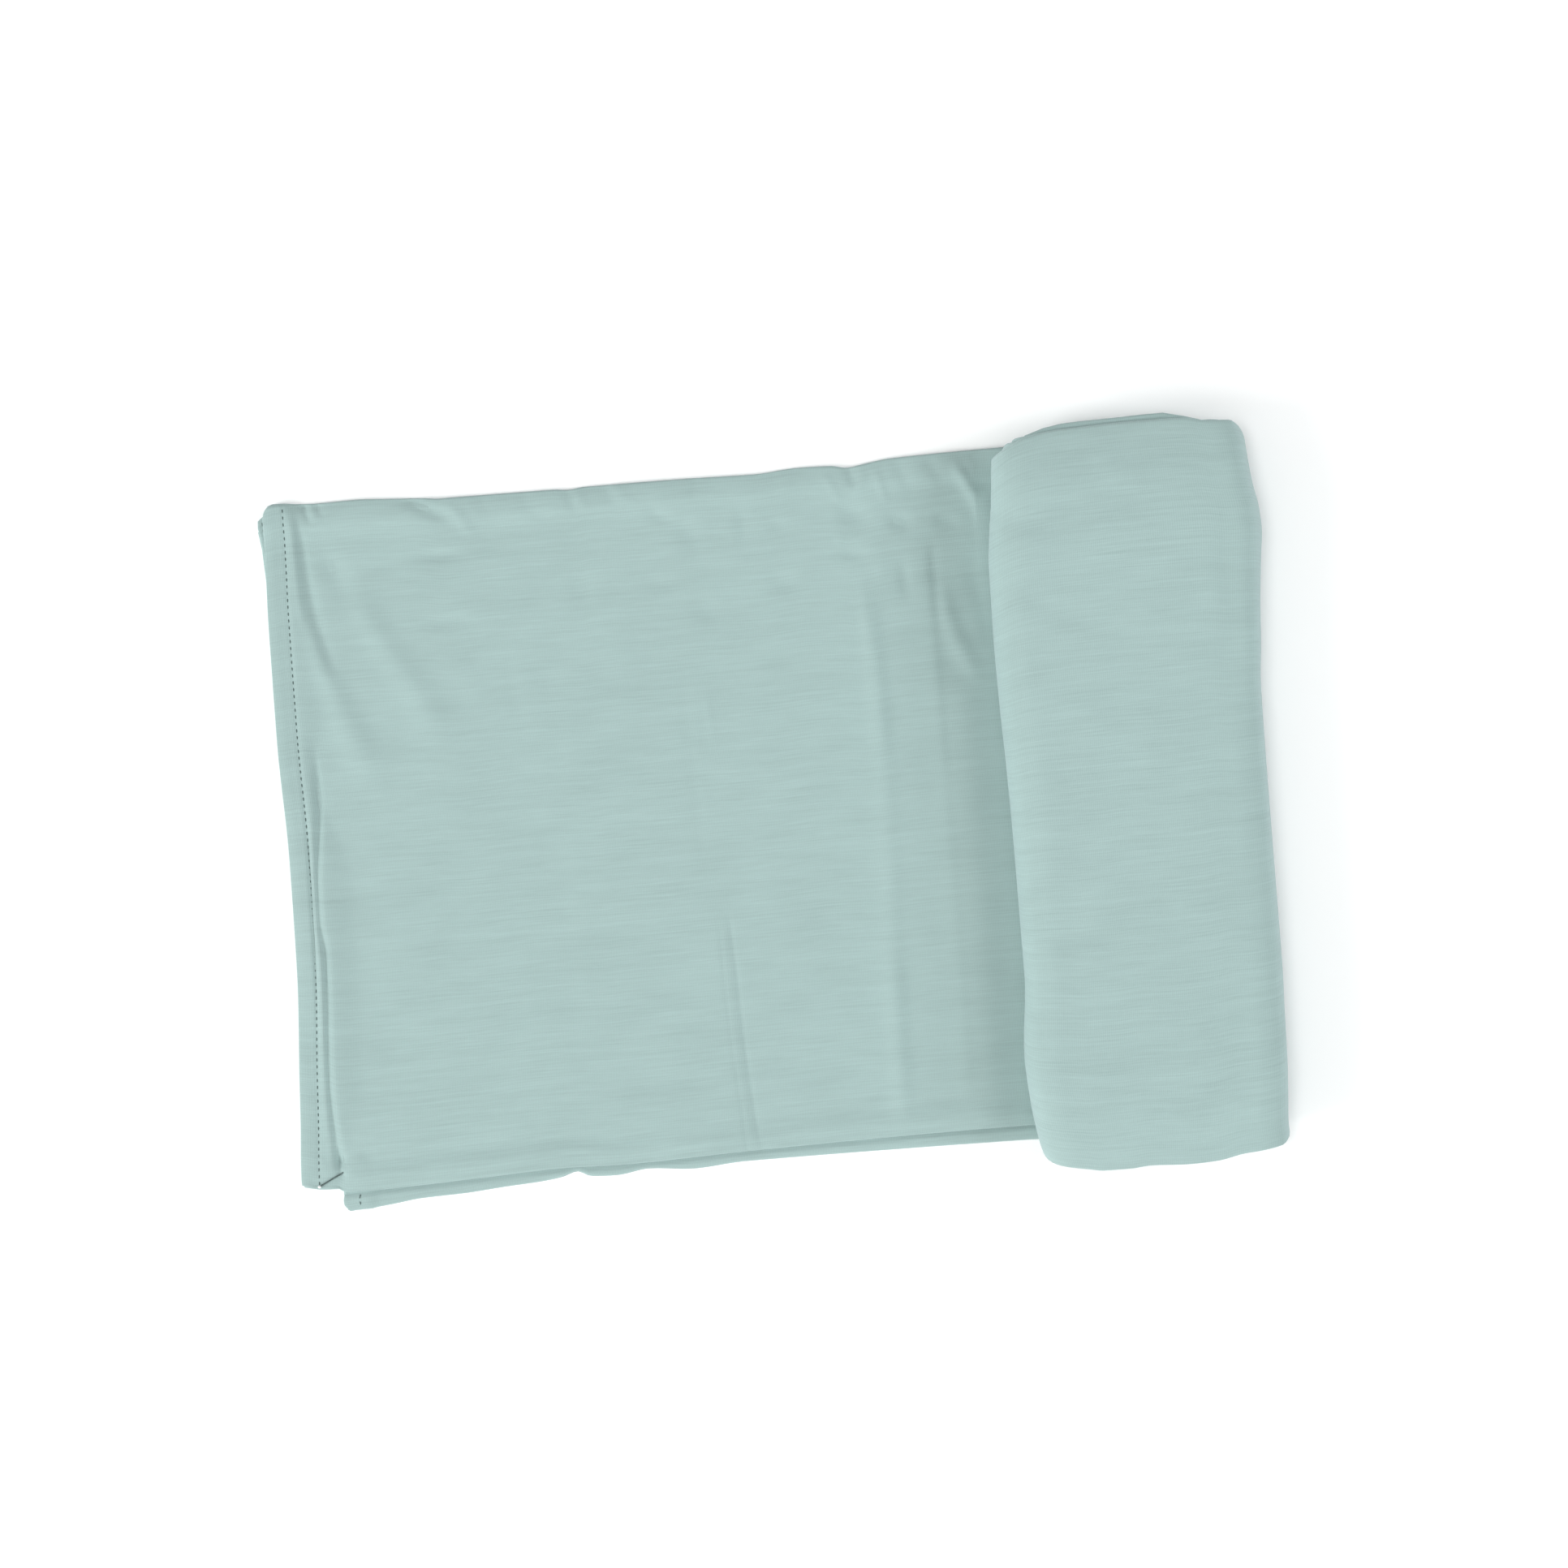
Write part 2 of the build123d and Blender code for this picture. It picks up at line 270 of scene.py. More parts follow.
def strip_folds():
    """How far the front ply stands above or below its flat height, in mm."""
    s = Surface((-224, -162), (168, 160))

    # Beside the hem: the valleys where the thick hem ends, above and below, and the taut cloth between
    s.fold([(-196.6, 152), (-195.6, 136), (-194.2, 121), (-192, 106), (-189.6, 94), (-186.3, 82), (-182, 70)],
           1.5, -1.0, fade=0.22, spread=1.0)
    s.fold([(-198.8, 150), (-198.6, 132), (-198, 112), (-196, 96)], 1.6, 0.45, fade=0.2)
    s.fold([(-195.8, 46), (-196.5, 20), (-198, 2), (-199.5, -14), (-199.8, -30), (-198.3, -44),
            (-198.8, -60), (-200, -82), (-200.8, -105), (-200, -126), (-198.2, -142)], 1.5, -1.6, fade=0.12)
    s.fold([(-197, 18), (-197, -20), (-197, -70), (-197, -126)], 10.0, 0.9, fade=0.2)
    s.fold([(-199.5, 30), (-200.7, 10), (-201.5, -20), (-201.5, -50), (-202.5, -80), (-203.5, -110)],
           1.6, 0.5)
    s.fold([(-200.5, -126), (-199, -136), (-197, -144)], 2.2, -1.0, fade=0.25)

    # Soft folds that fan out from the upper hemmed corner
    s.fold([(-195.5, 112), (-192.6, 92), (-187.5, 74), (-181.5, 56), (-174, 38), (-167, 22)],
           3.4, 1.5, spread=1.5)
    s.fold([(-176, 120), (-167.5, 98), (-159, 82), (-152, 70), (-144, 54), (-138, 38)], 5.5, 1.25, spread=0.4)
    s.fold([(-186, 134), (-181, 120), (-176, 106)], 5.5, -1.0)
    s.fold([(-134, 80), (-127, 70), (-120, 58)], 6.0, 0.4)
    s.fold([(-110, 88), (-108, 68), (-104, 44)], 3.0, -0.2)

    # Short dents and creases along the upper half: from here to there, how wide and how deep
    for x, y, to_x, to_y, width, height in [
        (-174, 122, -148, 122.5, 2.2, -0.6), (-149, 125.5, -120, 125.5, 2.4, -0.8),
        (-154, 96, -118, 96, 1.9, -0.8),
        (-96, 141, -84, 137, 3.0, -0.4), (-82, 107, -66, 104, 7.0, -0.6), (-57, 110, -39, 129, 0.9, -0.25),
        (-45, 144, -38, 133, 1.8, -0.45), (-44, 136, -30, 133, 2.6, -0.5), (-33, 131, -19, 121, 5.0, -0.75),
        (-52, 105, -28, 105, 2.2, -0.8), (-28, 96, -13, 89, 4.2, -0.65), (-2.5, 142, -2.5, 116, 2.6, -0.7),
        (8, 130, 17, 125, 3.0, -0.6), (5, 108, 22, 97, 4.5, -0.7), (-60, 84, -44, 76, 4.0, -0.3),
        (-100, 70, -84, 64, 5.0, -0.3), (2, 72, 18, 66, 4.0, -0.3), (-24, 62, -22, 30, 2.0, 0.25),
        (38, 136, 55, 123, 5.5, -1.1), (34, 116, 54, 110, 3.2, -0.95), (58, 128, 74, 122, 3.6, -1.0),
        (79, 125, 94, 122, 3.0, -0.5), (65.5, 112, 67.5, 88, 2.8, -0.7), (39.5, 124, 40, 112, 2.2, 0.35),
        (56, 116, 57, 96, 3.0, 0.3),
    ]:
        middle = ((x + to_x) / 2, (y + to_y) / 2)
        s.fold([(x, y), middle, (to_x, to_y)], width, height, fade=0.45)

    # Puckers that run in from the upper fold
    for route, width, height in [
        ([(-194, 156), (-192.5, 150), (-190, 143)], 1.5, -0.7),
        ([(-191, 155), (-189.5, 150), (-188, 144)], 1.4, 0.4),
        ([(-188, 156), (-186.5, 150), (-184, 145)], 1.4, -0.5),
        ([(-152, 154), (-143, 148), (-134, 143), (-126, 138.5)], 2.8, -1.05),
        ([(-132, 149), (-127, 144), (-123.5, 138), (-119.5, 131)], 1.5, 0.65),
        ([(-118, 154), (-115, 147), (-112, 140)], 2.6, -0.35),
        ([(-98, 154), (-96, 146), (-93, 138)], 2.6, -0.3),
        ([(-79, 155), (-76.5, 147), (-73.5, 138)], 1.6, -0.6),
        ([(-75, 152), (-72.5, 145), (-70, 138)], 1.5, 0.45),
        ([(-58, 154), (-55, 148), (-51, 141)], 1.6, 0.45),
        ([(-62, 154), (-60, 147), (-57, 140)], 1.8, -0.4),
        ([(-20, 154), (-22, 147), (-25, 141)], 1.8, -0.3),
        ([(16, 154), (17, 146), (19, 138)], 2.6, 0.25),
        ([(34, 150), (37.5, 142), (42, 134)], 1.6, 0.4),
        ([(45, 154), (46.5, 147), (47.5, 140)], 2.0, -0.9),
        ([(52.5, 152), (50.5, 143), (48, 136)], 1.5, 0.4),
        ([(56.5, 151), (58.5, 142), (61.5, 132)], 1.5, 0.5),
        ([(66, 154), (69, 145), (73, 136)], 3.0, -0.4),
        ([(78, 154), (83, 146), (88, 138)], 3.0, -0.4),
    ]:
        s.fold(route, width, height)

    # Folds and hollows beside the roll's upper end
    s.fold([(89, 152), (96, 140), (101, 130), (103.5, 120), (104, 109), (102.5, 99)], 2.6, 1.15, fade=0.22)
    s.fold([(100, 156), (106, 146), (109, 134), (110, 116)], 3.4, -1.6)
    s.fold([(80.5, 119), (79.3, 105), (79.8, 92), (80.5, 76)], 2.4, -0.42, fade=0.25)
    s.fold([(81.5, 100), (83, 86), (86.5, 73), (91.5, 62), (98, 50)], 4.0, 0.95)
    s.fold([(94, 114), (98, 94), (102, 76), (105, 58)], 4.8, -0.55)

    # Long creases across the strip, pressed in when it was last folded
    s.fold([(48.5, 108), (49.5, 84), (50.5, 60), (51, 9), (50, -34), (48.5, -81), (48, -144)],
           4.5, 0.75, fade=0.12)
    s.fold([(48, 104), (48, 86), (48.6, 66)], 1.3, 0.25)
    s.fold([(75, 122), (76, 96), (76.5, 54), (76.5, -5), (77, -60), (76.5, -142)], 5.0, 0.22, fade=0.12)
    s.crease([(78, 118), (78.6, 54), (78.6, -5), (79, -60), (78.5, -142)], 1.8, -0.22, 22)
    s.crease([(78, 120), (78.4, 84), (78.6, 48), (78.6, 6)], 1.2, -0.15, 22, fade=0.2)
    s.fold([(49, 100), (50, 72), (51, 44), (51, 14)], 4.0, 0.5)
    s.fold([(48.5, -56), (48, -88), (47.5, -118), (47, -146)], 4.5, 0.55, fade=0.25)

    # The cloth swells beside the roll, and runs down under it
    s.fold([(86, 60), (87, 30), (87, 0), (87, -70), (86, -148)], 10.0, 1.3, fade=0.06)
    s.crease([(-88, 70), (-87, 20), (-88, -30), (-89, -96)], 3.0, 0.25, 30)
    s.fold([(-34, 74), (-32, 30), (-31, 0), (-30, -34)], 1.5, -0.25)

    # A pressed double crease that leans across the lower middle, and faint ones beside it
    s.crease([(-24, -36), (-22.5, -62), (-21.5, -90), (-20, -120), (-18, -146)], 2.4, -0.7, 30)
    s.fold([(-26, -40), (-25.5, -62), (-24.5, -90), (-22, -128), (-20.5, -150)], 0.9, -0.25, fade=0.08)
    s.fold([(-21.5, -40), (-20, -62), (-18.7, -96), (-16.6, -126), (-14, -150)], 0.9, -0.3, fade=0.08)
    s.crease([(-78, -115), (-52, -115), (-26, -115.5)], 1.2, -0.8, 12, fade=0.3)
    s.crease([(-13, -114.5), (16, -116), (46, -117)], 1.2, -0.65, 12, fade=0.3)
    s.fold([(-20, -61), (-10, -60.5), (2, -60)], 1.5, -0.45)

    # Long shallow waves of cloth that has not been ironed
    x, y = s.x, s.y
    s.z += 0.14 * np.sin(x / 17 + y / 41) * np.sin(y / 23 - x / 67 + 1.0)
    s.z += 0.09 * np.sin(x / 9.5 - y / 29 + 2.0) * np.sin(y / 13 + x / 31)

    # The folded edges are full and round, with a soft hollow behind the lower one
    low = y - front_strip_low(x)
    hollow = 0.5 - 0.38 * smooth((x + 130) / 90)
    s.z += 0.6 * bump(low, 6.0, 3.6) - hollow * bump(low, 13.0, 3.6)
    s.z += 0.3 * bump(low, 28.0, 5.0) * (0.5 + 0.5 * np.sin(x / 41 + 1.2))
    below_top = np.clip(strip_top(x) - y, 0, None)
    uneven = 0.8 + 0.35 * np.sin(x / 23 + 1.0) * np.sin(x / 9.0) + 0.5 * (1 - smooth((x + 200) / 22))
    s.z -= 1.6 * uneven * np.exp(-below_top / 2.8) - 0.3 * bump(below_top, 9.0, 4.5)
    return s


def pin_dent(x, y, height):
    """The front ply pressed down under the pin's bare shaft, and humped where it goes in."""
    across = (x - pin_head_place[0]) * -pin_way[1] + (y - pin_head_place[1]) * pin_way[0]
    reach = (x - pin_head_place[0]) * pin_way[0] + (y - pin_head_place[1]) * pin_way[1]
    wanted = curve(reach, [
        (-3, 2.95), (0, 2.95), (4, 2.85), (8, 2.55), (10.2, 2.25), (11.0, 2.3), (12.8, 3.65), (15, 3.7),
        (20, 3.35), (26, 3.0),
    ])
    width = curve(reach, [(0, 5.0), (8, 3.2), (11, 2.4), (14, 3.2), (24, 5.0)])
    share = np.exp(-((across / width) ** 2)) * smooth((reach + 5) / 4) * smooth((27 - reach) / 8)
    return height * (1 - share) + wanted * share


# ---------------------------------------------------------------- the cloth's section across the strip

def section(rows):
    """Stations across the sheet, from the inner front ply's long edge to the inner back ply's.

    Each is (kind, layer, place): a ply's place is 0 at its lower fold and 1 at its upper edge, and a fold's
    place is 0 at the ply that it leaves and 1 at the ply that it reaches.
    """
    stations = [("side_hem", 2, f) for f in (0.0, 0.5, 1.0)]
    stations += [("side_turn", 2, f) for f in (0.25, 0.5, 0.75)]
    stations += [("ply", 2, v) for v in rows[2][::-1]]
    stations += [("low_fold", 2, f) for f in np.linspace(0, 1, 9)[1:-1]]
    stations += [("ply", 3, v) for v in rows[3]]
    stations += [("top_fold", 3, f) for f in np.linspace(0, 1, 11)[1:-1]]
    stations += [("ply", 0, v) for v in rows[0][::-1]]
    stations += [("low_fold", 0, f) for f in np.linspace(0, 1, 9)[1:-1]]
    stations += [("ply", 1, v) for v in rows[1]]
    stations += [("side_turn", 1, f) for f in (0.25, 0.5, 0.75)]
    stations += [("side_hem", 1, f) for f in (1.0, 0.5, 0.0)]
    return stations


def place_section(stations, heights, low_front, low_back, top, turned):
    """Y and height of every station in every column.

    heights(layer, y) gives a ply's height; the edges and turned, the depth by which a hem's under layer lies
    inside the main one, are one value for each column.
    """
    inner_side = {3: -1, 2: 1, 1: -1, 0: 1}
    free_edge = top - 2.2
    ys, hs = [], []
    for kind, layer, place in stations:
        low = low_front if layer >= 2 else low_back
        if kind == "ply":
            low_turn = low + (heights(layer | 1, low + 1) - heights(layer & 2, low + 1)) / 2
            if layer in (0, 3):
                high_turn = top - (heights(3, top - 1) - heights(0, top - 1)) / 2
            else:
                high_turn = free_edge
            y = low_turn + (high_turn - low_turn) * place
            h = heights(layer, y) + inner_side[layer] * turned
        elif kind == "low_fold":
            lower, upper = heights(layer & 2, low + 1), heights(layer | 1, low + 1)
            radius = (upper - lower) / 2
            angle = math.pi * place
            y = low + radius - (radius - turned) * math.sin(angle)
            h = (upper + lower) / 2 - (radius - turned) * math.cos(angle)
        elif kind == "top_fold":
            lower, upper = heights(0, top - 1), heights(3, top - 1)
            radius = (upper - lower) / 2
            angle = math.pi * place
            y = top - radius + (radius - turned) * math.sin(angle)
            h = (upper + lower) / 2 + (radius - turned) * math.cos(angle)
        else:
            main = heights(layer, free_edge)
            sign = inner_side[layer]
            if kind == "side_turn":
                angle = math.pi * (place if layer == 1 else 1 - place)
                y = free_edge + turned_gap / 2 * math.sin(angle)
                h = main + sign * (turned_gap / 2 * (1 - math.cos(angle)) + turned)
            else:
                y = free_edge - hem_width * (1 - place)
                h = heights(layer, y) + sign * (turned_gap + turned)
        ys.append(y + np.zeros_like(top))
        hs.append(h + np.zeros_like(top))
    return np.array(ys), np.array(hs)


def across_lengths(ys, hs):
    """Distance across the cloth to each station, for the knit's coordinates."""
    steps = np.hypot(np.diff(ys, axis=0), np.diff(hs, axis=0)).mean(axis=1)
    return np.concatenate([[0], np.cumsum(steps)])


def cloth_mesh(name, points, across, along):
    """A grid of points, in mm, made into a cloth of real thickness, with its knit coordinates in metres."""
    rows, columns = points.shape[:2]
    grid = np.arange(rows * columns).reshape(rows, columns)
    quads = np.stack([grid[:-1, :-1], grid[:-1, 1:], grid[1:, 1:], grid[1:, :-1]], axis=-1).reshape(-1, 4)
    mesh = bpy.data.meshes.new(name)
    mesh.from_pydata((points.reshape(-1, 3) * mm).tolist(), [], quads.tolist())
    knit = mesh.uv_layers.new(name="knit")
    u = np.broadcast_to(along * mm, (rows, columns))
    v = np.broadcast_to(across[:, None] * mm, (rows, columns))
    coordinates = np.stack([u.reshape(-1)[quads], v.reshape(-1)[quads]], axis=-1)
    knit.data.foreach_set("uv", coordinates.astype(np.float32).ravel())
    mesh.polygons.foreach_set("use_smooth", [True] * len(mesh.polygons))
    piece = bpy.data.objects.new(name, mesh)
    bpy.context.scene.collection.objects.link(piece)

    solid = piece.modifiers.new("thickness", "SOLIDIFY")
    solid.thickness = thickness * mm
    solid.offset = 0.0
    bpy.context.view_layer.update()
    evaluated = piece.evaluated_get(bpy.context.evaluated_depsgraph_get())
    thick = bpy.data.meshes.new_from_object(evaluated)
    piece.modifiers.clear()
    piece.data = thick
    thick.name = name
    return piece


# ---------------------------------------------------------------- the flat strip

def strip_heights(hem_distance, x, folds):
    """A function that gives each layer's height in the strip.

    The turned hems hold the plies apart at the hemmed end, and the side hems do so near the upper edge.
    """

    def heights(layer, y):
        y = y + np.zeros_like(x)
        span = curve(y, [
            (-150, 7), (-125, 14), (-105, 19), (-15, 19), (5, 14), (26, 6.5), (42, 7), (62, 15), (92, 10),
            (150, 8),
        ])
        hem_share = 1 - smooth((hem_distance - 10.0) / span)
        side = smooth((y - 136.0) / 8.0)
        doubled = layer_gap + 0.85 * hem_share + 0.3 * side
        single = layer_gap - 0.2 * hem_share
        single = single + 0.3 * (1 - smooth((y - front_strip_low(x)) / 8.0)) * smooth((x + 196.0) / 8.0)
        stack = [0.0, doubled, doubled + single, 2 * doubled + single][layer]
        overhang = smooth((back_hem_x(y) - x + 3.0) / 12.0) * smooth((40.0 - y) / 90.0)
        droop = 1.15 * overhang if layer >= 2 else 0.0

        # The lower plies follow the front ply's folds less and less, and no fold reaches the hem or the roll
        share = [0.0, 0.3 + 0.1 * side, 0.65 - 0.05 * side, 1.0][layer]
        relief = folds.at(x, y) * (1 - smooth((11.5 - hem_distance) / 4.0))
        relief *= 1 - smooth((x - 104.0) / 9.0)
        height = first_height + stack - droop + share * relief

        # The stitches draw a groove in the outermost plies, the inner back ply bulges out below the front
        # one, and the pin dents the front ply, which presses down the one under it
        if layer == 0:
            height = height + 0.3 * bump(hem_distance, back_inset(y), 0.9)
        if layer == 1:
            out = front_strip_low(x) - y
            height = height + 0.75 * smooth((out - 0.8) / 1.8) - 0.3 * bump(out, 0.2, 1.1)
        if layer == 2:
            height = np.minimum(height, heights(3, y) - pressed_gap)
        if layer == 3:
            stitches = front_inset(y)
            height = height - (0.28 + 0.6 * bump(y, -24, 42)) * bump(hem_distance, stitches, 0.9)
            height = height + 0.42 * bump(hem_distance, 2.7, 3.2)
            height = pin_dent(x, y, height) - 0.9 * bump(x, -198.6, 2.2) * bump(y, -135.8, 3.8)
        return height

    return heights


def hem_columns(main):
    """Columns along the strip, from a hem's raw edge, under, round its fold and on to the far side.

    Returns each column's distance from the folded edge and how deep it lies under the main layer.
    """
    under = [(d, turned_gap) for d in (hem_width, 7.0, 4.5, 2.5, 1.2, turned_gap / 2)]
    fold = [
        (turned_gap / 2 * (1 - math.sin(a)), turned_gap / 2 * (1 + math.cos(a)))
        for a in np.linspace(0, math.pi, 6)[1:-1]
    ]
    over = [(d, 0.0) for d in main]
    distance, depth = (np.array(c) for c in zip(*under, *fold, *over))
    return distance, depth


def hemmed_end(station):
    """X of the hemmed edge at a station, and how far its corner is rounded off there."""
    kind, layer, place = station
    low = front_low_corner if layer >= 2 else back_low_corner
    high = front_top_corner if layer == 3 else other_top_corner
    if kind == "ply":
        y = low + (high - low) * place
    elif kind == "low_fold":
        y = low - 0.6 * math.sin(math.pi * place)
    elif kind == "top_fold":
        y = high + 1.5 * math.sin(math.pi * place)
    else:
        y = high
    y = np.array(y)
    front = front_hem_x(y) + 0.9 * (layer == 2), front_corner(y)
    back = back_hem_x(y) + 0.5 * (layer == 1), back_corner(y)
    if kind == "top_fold":
        mix = smooth(place)
        return [float(f * (1 - mix) + b * mix) for f, b in zip(front, back)]
    return [float(v) for v in (front if layer >= 2 else back)]


def make_strip():
    """The visible folded strip, all four plies of it, as far as the roll's middle."""
    folds = strip_folds()
    main = spaced(
        turned_gap / 2, (20.0, 0.65), (44.0, 1.2), (184.0, 2.2), (200.0, 0.75), (242.0, 2.4), (314.0, 1.4),
        (strip_length, 6.0),
    )
    distance, depth = hem_columns(main)
    full = main[-1]

    # Rows across each ply, as shares of its width, are close together where they show
    fine = spaced(0.0, (0.06, 0.004), (0.90, 0.0088), (1.0, 0.0042))
    hidden = spaced(0.0, (0.04, 0.02), (0.95, 0.08), (1.0, 0.025))
    peeping = spaced(0.0, (0.02, 0.003), (0.06, 0.008), (0.90, 0.07), (1.0, 0.01))
    stations = section({3: fine, 2: hidden, 1: peeping, 0: hidden})

    points = []
    for station in stations:
        edge, rounding = hemmed_end(station)
        x = edge + distance * (roll_middle - edge) / full + rounding * np.exp(-distance / 3.5)
        heights = strip_heights(distance, x, folds)
        ys, hs = place_section([station], heights, front_strip_low(x), back_strip_low(x), strip_top(x), depth)
        points.append(np.stack([x, ys[0], hs[0]], axis=-1))
    points = np.array(points)
    across = across_lengths(points[..., 1], points[..., 2])
    along = np.where(depth > turned_gap / 2, -distance, distance)
    return cloth_mesh("folded_strip", points, across, along), points, stations, distance, depth


# ---------------------------------------------------------------- the roll

def roll_route():
    """The roll's spiral as columns: X, Z, the way in towards its heart, turns reached and length reached.

    Straight runs and half circles follow each other, each turn one gap inside the last.
    """
    columns = []

    def run(start_x, end_x, z, inward, start_turn, end_turn, spacing):
        for f in spaced(0.0, (1.0, spacing / abs(end_x - start_x)))[:-1]:
            x = start_x + (end_x - start_x) * f
            turn = start_turn + (end_turn - start_turn) * f
            columns.append((x, z, 0.0, inward, turn))

    def bend(centre, radius, start_angle, start_turn, end_turn, count):
        for f in np.linspace(0, 1, count + 1)[:-1]:
            angle = math.radians(start_angle + 180 * f)
            out_x, out_z = math.cos(angle), math.sin(angle)
            turn = start_turn + (end_turn - start_turn) * f
            columns.append((centre[0] + radius * out_x, centre[1] + radius * out_z, -out_x, -out_z, turn))

    for turn in range(4):
        level = turn * turn_gap
        top = roll_height - level
        outer = turn == 0
        spacing = 2.4 if outer else 9.0
        run(roll_middle, right_centre[0], level, 1.0, turn, turn + 0.17, 6.0 if outer else 10.0)
        bend(right_centre, roll_height / 2 - level, -90, turn + 0.17, turn + 0.33, 18 if outer else 10)
        run(right_centre[0], left_centre[0], top, -1.0, turn + 0.33, turn + 0.67, spacing)
        if turn < 3:
            left_radius = (roll_height - turn_gap) / 2 - level
            bend(left_centre, left_radius, 90, turn + 0.67, turn + 0.83, 16 if outer else 10)
            run(left_centre[0], roll_middle, level + turn_gap, 1.0, turn + 0.83, turn + 1.0, 8.0)
    columns.append((left_centre[0], roll_height - 3 * turn_gap, 0.0, -1.0, 3.67))
    route = np.array(columns).T
    steps = np.hypot(np.diff(route[0]), np.diff(route[1]))
    return route, np.concatenate([[0], np.cumsum(steps)])


def roll_top(turn):
    """The upper end of the rolled strip, turn by turn: an inner turn stands out past the outer one."""
    return curve(turn, [
        (0.0, 154.0), (0.17, 154.2), (0.23, 151.5), (0.25, 152.6), (0.27, 155.0), (0.29, 156.3),
        (0.33, 156.6), (0.366, 158.4), (0.41, 158.8), (0.47, 158.7), (0.55, 158.0), (0.6, 157.6),
        (0.642, 156.6), (0.672, 155.2), (0.693, 153.4), (0.71, 151.2), (0.75, 148.5), (0.83, 151.5),
        (1.0, 154.0), (1.17, 155.0), (1.3, 155.5), (1.36, 158.6), (1.385, 161.2), (1.41, 161.6),
        (1.5, 160.9), (1.58, 160.4), (1.62, 159.4), (1.66, 157.2), (1.7, 154.0), (1.83, 154.0),
        (2.0, 156.0), (2.4, 157.5), (2.7, 156.0), (3.0, 154.0), (3.3, 156.0), (3.67, 155.0),
    ])


def roll_low_edge(turn):
    """The lower end of the rolled strip, turn by turn, at the back plies' fold."""
    return curve(turn, [
        (0.0, -150.0), (0.17, -150.5), (0.23, -150.0), (0.25, -151.8), (0.27, -154.6), (0.3, -157.4),
        (0.33, -158.6), (0.36, -159.2), (0.41, -161.4), (0.46, -161.9), (0.53, -161.2), (0.57, -161.9),
        (0.62, -161.9), (0.65, -160.9), (0.69, -159.3), (0.71, -158.2), (0.73, -156.4), (0.75, -153.8),
        (0.78, -151.0), (1.0, -152.0), (1.3, -153.0), (1.5, -157.0), (1.75, -152.0), (2.0, -151.0),
        (2.5, -156.0), (3.0, -152.0), (3.67, -153.0),
    ])


def shape_roll(x, y, z):
    """Gives the plain roll its soft shape: crowned, fuller here and slacker there, thinner at its ends."""
    f = (x - roll_middle) / (roll_high[0] - roll_middle)
    crown = 0.06 + 0.015 * np.sin(y / 47 + 0.6)
    end = smooth((np.abs(y) - 126) / 40)
    rise = crown * (1 - np.clip(f * f, 0, 1.2)) - 0.03 - 0.15 * end
    z = z * (1 + rise * smooth((z - 3) / 12))
    full = curve(y, [
        (-156, -1.5), (-148, -1.9), (-138, -1.4), (-119, -0.5), (-99, -0.1), (-79, 0.4), (0, 0.2),
        (40, 0.4), (60, 1.9), (79, 3.1), (99, 5.0), (109, 6.0), (119, 5.4), (129, 3.5), (139, 2.4),
        (149, 1.6), (156, -0.4),
    ])
    slack = curve(y, [
        (-162, 4.5), (-155, 3.2), (-148, 1.4), (-130, -1.2), (-112, -2.3), (-76, 0.4), (-5, -0.1), (66, -1.8),
        (102, -1.4), (114, -0.3), (129, 1.6), (140, 2.6), (149, 3.6), (154, 6.0),
    ])
    x = x + smooth(f) * full + smooth(-f) * slack

    # Towards its right side the top stays flat and turns down late
    across, up = x - right_centre[0], z - right_centre[1]
    squareness = (2 * across * up / (across ** 2 + up ** 2 + 1e-9)) ** 4
    fuller = np.where((across > 0) & (up > 0), 1 + 0.08 * squareness, 1.0)
    return right_centre[0] + across * fuller, y, right_centre[1] + up * fuller


def roll_folds():
    """Folds on the roll's upper face, in mm."""
    s = Surface((94, -172), (230, 172))
    s.fold([(104, 140), (116, 130), (134, 126), (160, 130), (190, 138)], 6.0, -0.4)
    s.fold([(101, 130), (109, 122), (120, 118), (132, 118)], 5.0, -0.8)
    s.fold([(100, 112), (122, 108), (150, 110), (185, 118)], 7.0, 0.7)
    s.fold([(100, 96), (116, 88), (130, 80), (150, 74)], 6.0, -0.6)
    s.fold([(206, 132), (200, 114), (197, 92), (199, 60)], 6.0, 0.7)
    s.fold([(216, 98), (206, 72), (203, 40), (205, 10)], 6.0, -0.6)
    s.fold([(100, -54), (112, -60), (130, -62), (150, -61)], 1.8, -0.5)
    s.fold([(104, -66), (122, -69), (142, -68)], 3.2, 0.35)
    s.fold([(130, -136), (160, -130), (190, -126), (212, -120)], 5.0, -0.8)
    s.fold([(124, -124), (160, -119), (190, -114)], 6.0, 0.5)
    s.fold([(176, -108), (190, -100), (205, -92)], 4.5, -0.5)
    s.fold([(112, -148), (140, -152), (176, -148), (204, -142)], 5.0, 0.6)
    s.fold([(118, 66), (120, 0), (118, -60), (120, -120)], 6.0, 0.3)
    s.fold([(150, 100), (154, 40), (150, -20)], 12.0, -0.3)
    s.fold([(150, 148), (160, 138), (176, 130)], 5.0, 0.4)

    # A fine crease pressed into the cloth, like the corner of a box
    s.crease([(206.6, 24), (206.5, 0), (205, -18), (202, -42)], 0.9, -0.28, 9)
    s.fold([(204, -41), (190, -39), (170, -38), (156, -37.5)], 1.1, 0.28)
    x, y = s.x, s.y
    s.z += 0.22 * np.sin(x / 19 + y / 37 + 0.4) * np.sin(y / 27 - 0.7)
    s.z += 0.12 * np.sin(x / 8 - y / 33) * np.sin(y / 12 + 1.0)
    return s


